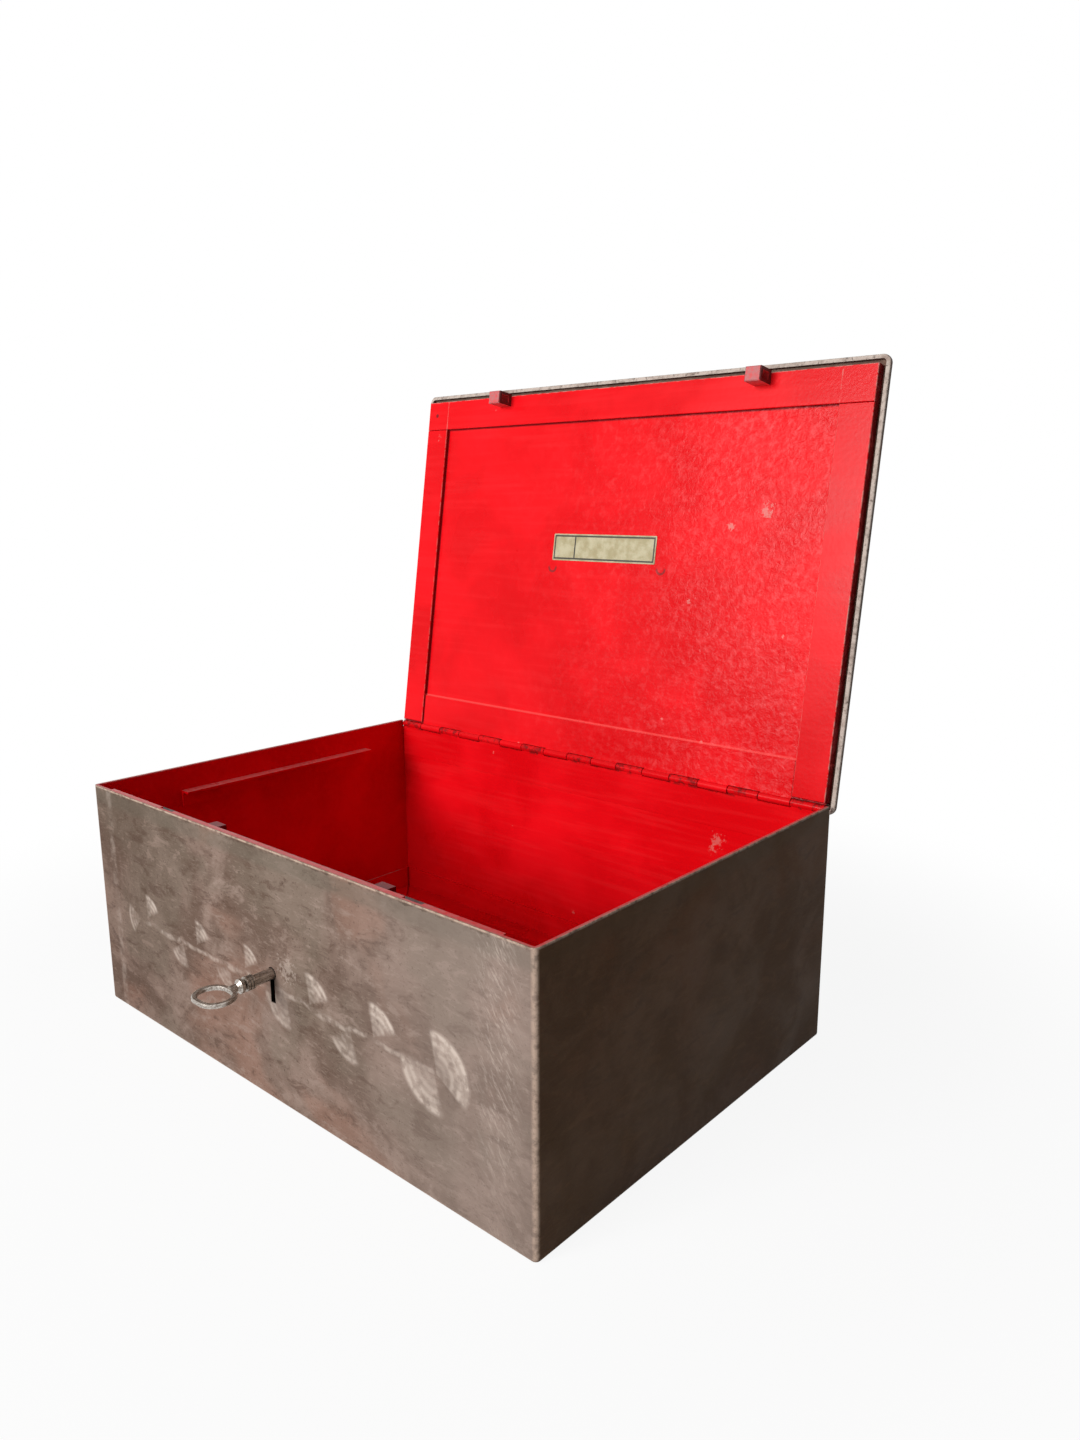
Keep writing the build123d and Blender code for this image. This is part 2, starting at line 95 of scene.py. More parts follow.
# %% Helpers: arithmetic and masks
def maths(tree, operation, first, second=0.0):
    """One step of arithmetic on numbers."""
    return add(tree, "ShaderNodeMath", {0: first, 1: second}, operation=operation).outputs[0]


def overlap(tree, mask, *others):
    """Multiply masks, so that only what all of them cover is left."""
    for other in others:
        mask = maths(tree, "MULTIPLY", mask, other)
    return mask


def either(tree, mask, *others):
    """The strongest of several masks at each point."""
    for other in others:
        mask = maths(tree, "MAXIMUM", mask, other)
    return mask


def gap_to(tree, value, middle):
    """How far a number is from a middle value, on either side of it."""
    return maths(tree, "ABSOLUTE", maths(tree, "SUBTRACT", value, middle))


def ramp(tree, value, low, high, start=0.0, end=1.0, smooth=True):
    """Spread a number between two limits onto start to end."""
    limits = {"Value": value, "From Min": low, "From Max": high, "To Min": start, "To Max": end}
    kind = "SMOOTHSTEP" if smooth else "LINEAR"
    return add(tree, "ShaderNodeMapRange", limits, interpolation_type=kind).outputs["Result"]


def choose(tree, mask, without, within):
    """One number where the mask is empty, another where it is full, mixed in between."""
    return ramp(tree, mask, 0.0, 1.0, without, within, smooth=False)


print("mask helpers ready")


# %% [markdown]
# ## Helpers for colours and noise
# An old finish is many thin layers: a base, then clouds, streaks, dirt and wear over it. Each
# layer is a mask and a colour, so a list of them can be laid over a base in one go. Noise breaks
# the layers up, and stretching the place before the noise is drawn makes streaks of it.

# %% Helpers: colours and noise
def blend(tree, amount, first, second, kind="MIX"):
    """Mix two colours by an amount from 0 to 1."""
    node = add(tree, "ShaderNodeMix", data_type="RGBA", blend_type=kind)
    plug(tree, node.inputs[0], amount)
    plug(tree, node.inputs[6], first)
    plug(tree, node.inputs[7], second)
    return node.outputs[2]


def lay_over(tree, base, layers):
    """Lay colours over a base in order. A layer is a mask, a colour and, if not MIX, a kind."""
    for mask, colour, *kind in layers:
        base = blend(tree, mask, base, colour, *kind)
    return base


def noise(tree, place, scale, detail=4.0, rough=0.55, warp=0.0):
    """Cloudy noise in millimetres: scale is how many clouds fit in one millimetre."""
    inputs = {"Vector": place, "Scale": scale, "Detail": detail, "Roughness": rough, "Distortion": warp}
    return add(tree, "ShaderNodeTexNoise", inputs).outputs["Fac"]


def sway(tree, cloud, reach):
    """Turn noise around a half into a swing around zero, at most half the reach each way."""
    return maths(tree, "MULTIPLY", maths(tree, "SUBTRACT", cloud, 0.5), reach)


def stretch(tree, place, scale):
    """Squeeze or stretch a place, to draw noise out into streaks."""
    return add(tree, "ShaderNodeVectorMath", {0: place, 1: scale}, operation="MULTIPLY").outputs[0]


print("colour and noise helpers ready")


# %% [markdown]
# ## Helpers for places
# Most masks here start from where a point is. These helpers take a place apart into its three
# numbers, step from one place to another, and measure one place against another.

# %% Helpers: places
def split(tree, place):
    """The three numbers of a place."""
    numbers = add(tree, "ShaderNodeSeparateXYZ", {0: place}).outputs
    return numbers["X"], numbers["Y"], numbers["Z"]


def offset_from(tree, place, origin):
    """The step from an origin to a place."""
    return add(tree, "ShaderNodeVectorMath", {0: place, 1: origin}, operation="SUBTRACT").outputs[0]


def measure(tree, operation, place, other):
    """One number from two places, such as the distance between them."""
    return add(tree, "ShaderNodeVectorMath", {0: place, 1: other}, operation=operation).outputs["Value"]


print("place helpers ready")


# %% [markdown]
# ## Helpers for groups
# A node group is a small network with named inputs and outputs. It is built once and placed in
# every material that needs it, so the same steel or paint looks alike on all the pieces.

# %% Helpers: make a group, use a group
FLOAT = "NodeSocketFloat"
COLOUR = "NodeSocketColor"
VECTOR = "NodeSocketVector"


def new_group(name, inputs, outputs):
    """An empty node group with its sockets; returns the tree and its two end nodes."""
    tree = bpy.data.node_groups.new(name, "ShaderNodeTree")
    for label, kind in inputs:
        tree.interface.new_socket(label, in_out="INPUT", socket_type=kind)
    for label, kind in outputs:
        tree.interface.new_socket(label, in_out="OUTPUT", socket_type=kind)
    return tree, tree.nodes.new("NodeGroupInput"), tree.nodes.new("NodeGroupOutput")


def use(tree, group, inputs=None):
    """Put a shared group into a material."""
    return add(tree, "ShaderNodeGroup", inputs, node_tree=group)


print("group helpers ready")

# %% [markdown]
# ## Two ways to say where a point is
# Object coordinates stay with a piece when it moves, so paint never slides. For the box they are
# used as they are, in millimetres. The lid leans back, so its own coordinates are worked out by
# measuring how far a point is across from the hinge's middle, up the lid and out from it.

# %% Shared groups: places on the box and on the lid
box_place, _, place_end = new_group("PlaceOnBox", [], [("Place", VECTOR)])
coordinates = add(box_place, "ShaderNodeTexCoord").outputs["Object"]
plug(box_place, place_end.inputs["Place"], stretch(box_place, coordinates, (MM, MM, MM)))

lid_place, _, lid_end = new_group("PlaceOnLid", [], [("Place", VECTOR)])
coordinates = add(lid_place, "ShaderNodeTexCoord").outputs["Object"]
from_hinge = offset_from(lid_place, stretch(lid_place, coordinates, (MM, MM, MM)), hinge_point)
across_lid, _, _ = split(lid_place, from_hinge)
up_lid = measure(lid_place, "DOT_PRODUCT", from_hinge, lid_up)
off_lid = measure(lid_place, "DOT_PRODUCT", from_hinge, lid_out)
lid_vector = add(lid_place, "ShaderNodeCombineXYZ", {"X": across_lid, "Y": up_lid, "Z": off_lid})
plug(lid_place, lid_end.inputs["Place"], lid_vector.outputs[0])
print("groups:", [group.name for group in bpy.data.node_groups])

# %% [markdown]
# ## Old bare steel
# The outside has lost its paint. It is brown-grey, clouded with reddish and dull brown, with
# fine scratches along it and small dark pits. A picture of rust would be simpler, but noises of
# different sizes have no seams at the corners. One shared group makes the colour, the roughness
# and the height of the surface, and every steel face uses it.

# %% Shared group: aged steel
aged_steel, steel_in, steel_end = new_group(
    "AgedSteel", [("Place", VECTOR)], [("Colour", COLOUR), ("Roughness", FLOAT), ("Height", FLOAT)]
)
place = steel_in.outputs["Place"]
clouds = noise(aged_steel, place, 0.022, 5.0, 0.62, 0.6)
patches = noise(aged_steel, place, 0.012, 3.0, 0.5, 0.4)
mottle = noise(aged_steel, stretch(aged_steel, place, (0.55, 0.55, 1.3)), 0.10, 6.0, 0.68, 0.5)
grain = noise(aged_steel, stretch(aged_steel, place, (0.25, 0.25, 1.4)), 0.6, 5.0, 0.7)
speckle = noise(aged_steel, place, 0.8, 4.0, 0.7)
dark_steel = (0.118, 0.076, 0.057, 1)
light_steel = (0.212, 0.148, 0.119, 1)
base = blend(aged_steel, ramp(aged_steel, clouds, 0.40, 0.62), dark_steel, light_steel)
steel_layers = [
    # dull brown patches, and reddish ones where the same noise is low
    (ramp(aged_steel, patches, 0.50, 0.62, 0.0, 0.55), (0.138, 0.108, 0.081, 1)),
    (ramp(aged_steel, patches, 0.48, 0.36, 0.0, 0.60), (0.232, 0.128, 0.094, 1)),
    # dark mottling, and light mottling where its noise is low
    (ramp(aged_steel, mottle, 0.52, 0.66, 0.0, 0.62), (0.074, 0.041, 0.028, 1)),
    (ramp(aged_steel, mottle, 0.46, 0.34, 0.0, 0.55), (0.268, 0.196, 0.162, 1)),
    # fine light scratches
    (ramp(aged_steel, grain, 0.52, 0.68, 0.0, 0.30), (0.330, 0.255, 0.210, 1)),
    # small dark pits
    (ramp(aged_steel, speckle, 0.58, 0.70, 0.0, 0.70), (0.040, 0.020, 0.012, 1)),
]
plug(aged_steel, steel_end.inputs["Colour"], lay_over(aged_steel, base, steel_layers))
plug(aged_steel, steel_end.inputs["Roughness"], ramp(aged_steel, clouds, 0.3, 0.7, 0.56, 0.40))
# Multiply-add adds its third input, which stays at the node's own half.
scratch_height = maths(aged_steel, "MULTIPLY_ADD", grain, 0.5)
plug(aged_steel, steel_end.inputs["Height"], maths(aged_steel, "ADD", scratch_height, speckle))
print("steel group has", len(aged_steel.nodes), "nodes")

# %% [markdown]
# ## Gloss red paint
# The paint inside is thick and glossy, brushed on over sheet. It has a faint orange-peel surface,
# a few darker clouds, and tiny light chips. The same kind of group gives it all at once. The
# chips are the middles of scattered cells, with noise added to make their edges ragged.

# %% Shared group: red paint
red_gloss, red_in, red_end = new_group(
    "RedGloss", [("Place", VECTOR)], [("Colour", COLOUR), ("Roughness", FLOAT), ("Height", FLOAT)]
)
place = red_in.outputs["Place"]
clouds = noise(red_gloss, place, 0.014, 4.0, 0.55, 0.3)
peel = noise(red_gloss, place, 0.42, 3.0, 0.6)
brush = noise(red_gloss, stretch(red_gloss, place, (0.03, 0.6, 0.6)), 0.5, 3.0, 0.5)
cell_inputs = {"Vector": place, "Scale": 0.03, "Randomness": 1.0}
cells = add(red_gloss, "ShaderNodeTexVoronoi", cell_inputs).outputs["Distance"]
chip_edge = maths(red_gloss, "MULTIPLY", noise(red_gloss, place, 0.9, 3.0, 0.6), 0.06)
tiny_chips = maths(red_gloss, "ADD", cells, chip_edge)
deep_red = (0.640, 0.002, 0.005, 1)
bright_red = (0.790, 0.004, 0.009, 1)
base = blend(red_gloss, ramp(red_gloss, clouds, 0.35, 0.68), deep_red, bright_red)
red_layers = [
    # brush streaks from side to side
    (ramp(red_gloss, brush, 0.45, 0.72, 0.0, 0.16), (0.840, 0.030, 0.034, 1)),
    # tiny light chips
    (ramp(red_gloss, tiny_chips, 0.075, 0.055, 0.0, 0.6), (0.800, 0.300, 0.260, 1)),
]
plug(red_gloss, red_end.inputs["Colour"], lay_over(red_gloss, base, red_layers))
plug(red_gloss, red_end.inputs["Roughness"], ramp(red_gloss, clouds, 0.3, 0.7, 0.24, 0.36))
plug(red_gloss, red_end.inputs["Height"], maths(red_gloss, "MULTIPLY_ADD", peel, 0.8))
print("paint group has", len(red_gloss.nodes), "nodes")

# %% [markdown]
# ## One polished swirl and its painted highlight
# A turning brush has left rings of fine lines on the front. Where they catch the light they show
# as bright fins and fans, and these are painted into the colour as highlights. Each one is drawn
# from its distance and direction from a middle point: rings of fine lines, bright only on part of
# the turn. With the middle, the size and the direction as inputs, one group draws them all.

# %% Shared group: one swirl
swirl_highlight, swirl_in, swirl_end = new_group(
    "BrushedSwirlHighlight",
    [("Place", VECTOR), ("Middle", VECTOR), ("Radius", FLOAT), ("Turn", FLOAT), ("Spread", FLOAT)],
    [("Mask", FLOAT)],
)
place = swirl_in.outputs["Place"]
spread = swirl_in.outputs["Spread"]
step_x, _, step_z = split(swirl_highlight, offset_from(swirl_highlight, place, swirl_in.outputs["Middle"]))
squares = maths(swirl_highlight, "ADD", maths(swirl_highlight, "POWER", step_x, 2.0), maths(swirl_highlight, "POWER", step_z, 2.0))
far = maths(swirl_highlight, "DIVIDE", maths(swirl_highlight, "SQRT", squares), swirl_in.outputs["Radius"])
angle = maths(swirl_highlight, "ARCTAN2", step_z, step_x)
toward = maths(swirl_highlight, "COSINE", maths(swirl_highlight, "SUBTRACT", angle, swirl_in.outputs["Turn"]))
soft_side = 0.17
# the sector is the painted highlight: bright only on the part of the turn that catches the light
sector = ramp(swirl_highlight, toward, spread, maths(swirl_highlight, "ADD", spread, soft_side))
band = overlap(swirl_highlight, ramp(swirl_highlight, far, 0.10, 0.90, 0.30, 1.0), ramp(swirl_highlight, far, 1.04, 0.92))
ring_turns = 30.0
rings = maths(swirl_highlight, "SINE", maths(swirl_highlight, "MULTIPLY", far, ring_turns))
rings = ramp(swirl_highlight, rings, -1.0, 1.0, 0.60, 1.0)
ragged = ramp(swirl_highlight, noise(swirl_highlight, place, 0.20, 4.0, 0.6), 0.34, 0.58, 0.35, 1.0)
plug(swirl_highlight, swirl_end.inputs["Mask"], overlap(swirl_highlight, sector, band, rings, ragged))
print("swirl group has", len(swirl_highlight.nodes), "nodes")

# %% [markdown]
# ## Chips and spots
# Where the paint has come off, there is a small ragged patch. Its mask is the distance from a
# middle point, with noise added so that its edge is not round.

# %% Shared group: a ragged spot
spot, spot_in, spot_end = new_group(
    "RaggedSpot", [("Place", VECTOR), ("Middle", VECTOR), ("Radius", FLOAT)], [("Mask", FLOAT)]
)
place = spot_in.outputs["Place"]
distance = measure(spot, "DISTANCE", place, spot_in.outputs["Middle"])
ratio = maths(spot, "DIVIDE", distance, spot_in.outputs["Radius"])
raggedness = 3.4
edge = maths(spot, "MULTIPLY", noise(spot, place, 0.40, 5.0, 0.75), raggedness)
plug(spot, spot_end.inputs["Mask"], ramp(spot, maths(spot, "ADD", ratio, edge), 2.2, 1.9))


def chipped(tree, place, colour, chips, chip_colour):
    """Lay ragged chips over a colour. A chip is the point in its middle and its radius."""
    chip_strength = 0.60
    for middle, radius in chips:
        chip = use(tree, spot, {"Place": place, "Middle": middle, "Radius": radius})
        amount = maths(tree, "MULTIPLY", chip.outputs["Mask"], chip_strength)
        colour = blend(tree, amount, colour, chip_colour)
    return colour


print("spot group has", len(spot.nodes), "nodes")


# %% [markdown]
# ## Starting a material
# Every finish ends in one Principled shader. The first helper makes it and sets the numbers that
# are the same all over the surface straight on the shader. The second joins the colour, the
# roughness and, through a bump, the height. The third gives the finish to the pieces.

# %% Helpers: a new finish
BUMP_DEPTH = 0.0002


def new_finish(name, metallic, ior=1.5):
    """A material with one Principled shader; returns the material, its tree and the shader."""
    finish = bpy.data.materials.new(name)
    finish.use_nodes = True
    tree = finish.node_tree
    shader = tree.nodes["Principled BSDF"]
    shader.inputs["Metallic"].default_value = metallic
    shader.inputs["IOR"].default_value = ior
    return finish, tree, shader


def surface(tree, shader, colour, roughness, height, strength):
    """Join a colour, a roughness and a height to the shader."""
    bump = add(tree, "ShaderNodeBump", {"Height": height, "Strength": strength, "Distance": BUMP_DEPTH})
    plug(tree, shader.inputs["Base Color"], colour)
    plug(tree, shader.inputs["Roughness"], roughness)
    plug(tree, shader.inputs["Normal"], bump.outputs[0])


def dress(finish, names):
    """Give a finish to CAD pieces through their material slots."""
    for name in names:
        for material_slot in nodes[name].material_slots:
            material_slot.material = finish
    print(finish.name, "->", len(names), "pieces")


# %% [markdown]
# ## The body: steel outside, red inside
# The body is one folded sheet, so one material has to hold both finishes. A mask from the
# distance to the outer faces chooses between them, a little uneven so that the line of the paint
# looks brushed. The corners are round, so the distance is measured as on a rounded rectangle.

# %% Body material: where the paint starts
body_finish, tree, shader = new_finish("BodySteelAndPaint", metallic=0.0, ior=1.12)
place = use(tree, box_place).outputs["Place"]
x, y, z = split(tree, place)
side = maths(tree, "ABSOLUTE", x)
front_back = maths(tree, "ABSOLUTE", y)
corner_radius = 3.0
paint_depth = 0.6
bare_base = 1.2
past_side = maths(tree, "SUBTRACT", side, half_width - corner_radius)
past_front = maths(tree, "SUBTRACT", front_back, half_depth - corner_radius)
round_side = maths(tree, "POWER", either(tree, past_side, 0.0), 2.0)
round_front = maths(tree, "POWER", either(tree, past_front, 0.0), 2.0)
round_part = maths(tree, "SQRT", maths(tree, "ADD", round_side, round_front))
flat_part = maths(tree, "MINIMUM", either(tree, past_side, past_front), 0.0)
from_corner = maths(tree, "ADD", round_part, flat_part)
to_skin = maths(tree, "SUBTRACT", from_corner, corner_radius - paint_depth)
nearest = either(tree, to_skin, maths(tree, "SUBTRACT", bare_base, z))
wander = sway(tree, noise(tree, place, 0.12, 4.0, 0.6), 0.8)
inside = ramp(tree, maths(tree, "ADD", nearest, wander), 0.12, -0.12)
print("the paint starts", paint_depth, "mm inside the outer faces, round corners included")

# %% [markdown]
# ## Swirls on the front, painted as highlights
# Bright fins stand above one level line along the front, and duller fans hang below it, the last
# ones at the right the largest. Their middles were placed one by one. The strongest mask wins where
# two of them meet.

# %% Body material: fins and fans
# Each row: middle across and up, radius, turn in degrees, cosine of its half width, brightness.
highlight_fins = [
    (-133, 72, 16, 60, 0.80, 0.80), (-76, 71, 16, 60, 0.80, 0.85), (-26, 72, 15, 60, 0.80, 0.80),
    (33, 70, 18, 62, 0.74, 0.90), (84, 70, 19, 62, 0.74, 1.00), (129, 68, 22, 35, 0.35, 0.95),
]
highlight_fans = [
    (-142, 69, 15, 190, 0.70, 0.45), (-92, 68, 16, 250, 0.74, 0.55), (-42, 68, 15, 240, 0.70, 0.50),
    (12, 68, 20, 235, 0.62, 0.60), (66, 68, 19, 250, 0.74, 0.60), (127, 70, 24, 232, 0.55, 0.80),
]
# painted highlights of the swirls; the light line and the smear join them below
marks_and_highlights = 0.0
for across, up, radius, turn, spread, bright in highlight_fins + highlight_fans:
    arc = use(tree, swirl_highlight, {
        "Place": place, "Middle": (across, -half_depth, up), "Radius": radius,
        "Turn": radians(turn), "Spread": spread,
    })
    marks_and_highlights = either(tree, marks_and_highlights, overlap(tree, arc.outputs["Mask"], bright))
print("swirls:", len(highlight_fins + highlight_fans))

# %% [markdown]
# ## The light line and the smear
# A faint light line runs through the swirls, wavy and broken, and there is one pale smear above
# it. The line is the distance from a level height, made wavy by noise.

# %% Body material: line and smear
line_height = 68.0
wavy = sway(tree, noise(tree, place, 0.03, 2.0), 14.0)
above_line = maths(tree, "SUBTRACT", z, line_height)
from_line = maths(tree, "ABSOLUTE", maths(tree, "ADD", above_line, wavy))
line_span = ramp(tree, side, 145.0, 120.0)
broken = ramp(tree, noise(tree, place, 0.09, 3.0, 0.6), 0.42, 0.60, 0.15, 1.0)
line = overlap(tree, ramp(tree, from_line, 2.4, 0.3, 0.0, 0.5), line_span, broken)
smear_middle = (14.0, -half_depth, 84.0)
smear = use(tree, spot, {"Place": place, "Middle": smear_middle, "Radius": 13.0}).outputs["Mask"]
marks_and_highlights = either(tree, marks_and_highlights, line, overlap(tree, smear, 0.35))
print("line at", line_height, "mm")

# %% [markdown]
# ## Scratches by the edges of the front
# Slanted scratches stand in a band by the right edge, and a light rub runs down near the left
# edge. The scratches are noise that is turned first and then drawn out along the slant. Swirls
# with their painted highlights, scratches and rub are on the front face alone.

# %% Body material: scratches and rub
scratch_slant = radians(35)
turned = add(tree, "ShaderNodeMapping", {"Vector": place, "Rotation": (0.0, scratch_slant, 0.0)})
slanted = stretch(tree, turned.outputs[0], (1.1, 1.0, 0.28))
hatch = ramp(tree, noise(tree, slanted, 0.55, 4.0, 0.65, 0.8), 0.46, 0.72, 0.0, 0.45)
hatch_zone = overlap(tree, ramp(tree, x, 148.0, 166.0), ramp(tree, x, 186.0, 172.0))
hatch = overlap(tree, hatch, hatch_zone, ramp(tree, z, 10.0, 70.0, 0.3, 1.0))
left_rub_place = -171.0
left_rub = ramp(tree, gap_to(tree, x, left_rub_place), 4.5, 1.0, 0.0, 0.22)
left_rub = overlap(tree, left_rub, broken)
front_face = ramp(tree, y, 1.2 - half_depth, 0.6 - half_depth)
front_marks_and_highlights = overlap(tree, either(tree, marks_and_highlights, hatch, left_rub), front_face)
print("front marks joined")

# %% [markdown]
# ## Worn edges
# Upright corners, the foot and the lip of the rim are rubbed bright, in patches. A dull band
# runs just under the rim. The rim's outer edge is bitten by small dark nicks, drawn by adding
# noise to the height.

# %% Body material: edges
wear_start = 3.2
wear_full = 1.0
corner_side = ramp(tree, side, half_width - wear_start, half_width - wear_full)
corner_front = ramp(tree, front_back, half_depth - wear_start, half_depth - wear_full)
corner = overlap(tree, corner_side, corner_front)
foot = ramp(tree, z, 2.0, 0.5, 0.0, 0.6)
lip = ramp(tree, z, body_height - 1.4, body_height - 0.3)
wear_patches = ramp(tree, noise(tree, place, 0.25, 4.0, 0.7), 0.35, 0.60, 0.25, 0.85)
worn = overlap(tree, either(tree, corner, foot, lip), wear_patches)
band_foot = ramp(tree, z, body_height - 13.0, body_height - 8.0)
band_top = ramp(tree, z, body_height - 0.5, body_height - 3.0)
under_rim = overlap(tree, band_foot, band_top)
nicks = overlap(tree, noise(tree, place, 0.22, 5.0, 0.7), 9.0)
bitten = ramp(tree, maths(tree, "ADD", z, nicks), body_height + 2.6, body_height + 4.2, 0.0, 0.65)
print("edge wear ready")

# %% [markdown]
# ## The colour of the steel
# The front is painted lighter to the right and darker to the left, and the other sides darker and
# browner, as painted light and shade. These broad tints are laid over the shared steel first, then
# the marks and the wear. Two of them multiply, so that the clouds of the steel still show through.

# %% Body material: tints over the steel
steel = use(tree, aged_steel, {"Place": place})
tints_with_light_and_shade = [
    # the dull band under the rim
    (overlap(tree, under_rim, 0.50), (0.118, 0.098, 0.074, 1)),
    # painted light towards the right, painted shade towards the left
    (ramp(tree, x, 20.0, 170.0, 0.0, 0.38), (0.268, 0.212, 0.184, 1)),
    (ramp(tree, x, -40.0, -170.0, 0.0, 0.80), (0.68, 0.63, 0.60, 1), "MULTIPLY"),
    # painted shade: all sides but the front, darker and browner
    (ramp(tree, y, 1.0 - half_depth, 2.5 - half_depth), (0.46, 0.32, 0.19, 1), "MULTIPLY"),
    # painted highlights of the swirls with the bright marks, dark nicks and bright worn edges
    (overlap(tree, front_marks_and_highlights, 0.80), (0.560, 0.470, 0.405, 1)),
    (bitten, (0.050, 0.032, 0.022, 1)),
    (worn, (0.520, 0.380, 0.295, 1)),
]
steel_colour = lay_over(tree, steel.outputs["Colour"], tints_with_light_and_shade)
print("steel tints:", len(tints_with_light_and_shade))

# %% [markdown]
# ## Inside the keyhole
# The keyhole is cut through the sheet, and its cut faces are painted black as the shade in the
# hole. They lie in a narrow upright box around the hole, just behind the front face.

# %% Body material: the keyhole
keyhole_height = joints["key_turn"]["pos_m"][2] * MM
middle_below_key = 6.6
hole_half_width = 4.3
hole_half_height = 11.0
from_middle = gap_to(tree, z, keyhole_height - middle_below_key)
up_keyhole = ramp(tree, from_middle, hole_half_height, hole_half_height - 0.4)
across_keyhole = ramp(tree, side, hole_half_width, hole_half_width - 0.3)
behind_face = ramp(tree, y, 0.05 - half_depth, 0.15 - half_depth)
before_case = ramp(tree, y, 6.0 - half_depth, 4.0 - half_depth)
keyhole_shade = overlap(tree, across_keyhole, up_keyhole, behind_face, before_case)
print("keyhole at", round(keyhole_height, 1), "mm")

# %% [markdown]
# ## Paint inside the body
# The paint has three chips on the back wall, and the rim is rubbed to pink. The last step joins
# the two finishes: the same mask chooses between their colours, roughnesses and heights. Bright
# marks are a little smoother than the steel around them.

# %% Body material: paint, chips and rim
RUBBED_PINK = (0.620, 0.150, 0.145, 1)
paint = use(tree, red_gloss, {"Place": place})
body_chips = [((114.0, 131.0, 110.0), 8.0), ((111.0, 131.0, 103.0), 5.0), ((-7.0, 131.0, 27.5), 3.0)]
paint_colour = chipped(tree, place, paint.outputs["Colour"], body_chips, (0.620, 0.170, 0.150, 1))
rim = ramp(tree, z, body_height - 0.9, body_height - 0.3)
rim_wear = overlap(tree, rim, ramp(tree, noise(tree, place, 0.2, 3.0, 0.6), 0.30, 0.55, 0.55, 1.0))
paint_colour = blend(tree, rim_wear, paint_colour, RUBBED_PINK)
body_colour = blend(tree, inside, steel_colour, paint_colour)
# painted shade in the keyhole
body_colour = blend(tree, keyhole_shade, body_colour, (0.008, 0.006, 0.005, 1))
mark_polish = overlap(tree, front_marks_and_highlights, 0.12)
steel_rough = maths(tree, "SUBTRACT", steel.outputs["Roughness"], mark_polish)
body_rough = choose(tree, inside, steel_rough, paint.outputs["Roughness"])
body_bumps = choose(tree, inside, steel.outputs["Height"], paint.outputs["Height"])
surface(tree, shader, body_colour, body_rough, body_bumps, 0.35)
dress(body_finish, ["body_shell"])

# %% [markdown]
# ## The paint on the inner fittings
# The strip, the angles, the tray rails and the body's half of the hinge are red too. Faces that
# look up are a lighter pink, partly rubbed paint and partly painted light on their lit tops, from a
# little above the base and as far back as the hinge. The barrel of the hinge is darker instead, in
# patches.

# %% Finish for the inner fittings
fitting_finish, tree, shader = new_finish("FittingPaint", metallic=0.0, ior=1.2)
place = use(tree, box_place).outputs["Place"]
paint = use(tree, red_gloss, {"Place": place})
_, y, z = split(tree, place)
_, _, looks_up = split(tree, add(tree, "ShaderNodeTexCoord").outputs["Normal"])
before_hinge = ramp(tree, y, 122.0, 119.0)
upward_lit_and_rubbed = overlap(tree, ramp(tree, looks_up, 0.7, 0.95), ramp(tree, z, 10.0, 16.0), before_hinge)
rub_and_top_light = overlap(tree, upward_lit_and_rubbed, ramp(tree, noise(tree, place, 0.25, 4.0, 0.65), 0.32, 0.58, 0.35, 0.9))
barrel_dark_patches = ramp(tree, noise(tree, place, 0.16, 5.0, 0.7), 0.47, 0.60, 0.0, 0.75)
barrel_height = ramp(tree, z, hinge_point.z - 4.0, hinge_point.z - 2.5)
on_barrel = overlap(tree, barrel_height, maths(tree, "SUBTRACT", 1.0, before_hinge))
fitting_colour = lay_over(tree, paint.outputs["Colour"], [
    # rubbed paint and painted light on the up-facing tops
    (rub_and_top_light, RUBBED_PINK),
    # darker patches on the barrel
    (overlap(tree, barrel_dark_patches, on_barrel), (0.120, 0.008, 0.008, 1)),
])
surface(tree, shader, fitting_colour, paint.outputs["Roughness"], paint.outputs["Height"], 0.3)
dress(fitting_finish, [
    "front_strip", "floor_angle_back", "floor_angle_front", "floor_angle_left", "floor_angle_right",
    "tray_rail_left", "tray_rail_right", "hinge_leaf_body",
])

# %% [markdown]
# ## The guides and the lock's case
# These sit low behind the front wall. Their paint has no rubbed pink and is darkened with painted
# shade. Inside the case the hollow behind the keyhole is painted near black as shade. The mask of
# the hollow follows the case's own box, less the thickness of its sheet.

# %% Finish for the guides and the lock's case
case_finish, tree, shader = new_finish("GuidePaintShaded", metallic=0.0, ior=1.2)
place = use(tree, box_place).outputs["Place"]
x, y, z = split(tree, place)
paint = use(tree, red_gloss, {"Place": place})
case_low, case_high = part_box("lock_case")
case_sheet = 1.5
margin = 0.1
fade = 0.2
case_side = case_high.x * MM - case_sheet + margin
case_back = case_high.y * MM - case_sheet + margin
case_middle = (case_high.z + case_low.z) * MM / 2
case_half_height = (case_high.z - case_low.z) * MM / 2 - case_sheet + margin
in_side = ramp(tree, maths(tree, "ABSOLUTE", x), case_side, case_side - fade)
in_height = ramp(tree, gap_to(tree, z, case_middle), case_half_height, case_half_height - fade)
in_depth = ramp(tree, y, case_back, case_back - margin)
hollow_shade = overlap(tree, in_side, in_height, in_depth)
painted_shade_share = 0.80
shaded_red = (0.110, 0.003, 0.005, 1)
hollow_shade_colour = (0.012, 0.009, 0.008, 1)
case_layers = [(painted_shade_share, shaded_red), (hollow_shade, hollow_shade_colour)]
case_colour = lay_over(tree, paint.outputs["Colour"], case_layers)
surface(tree, shader, case_colour, paint.outputs["Roughness"], paint.outputs["Height"], 0.3)
dress(case_finish, ["bar_guide_left", "bar_guide_right", "lock_case"])


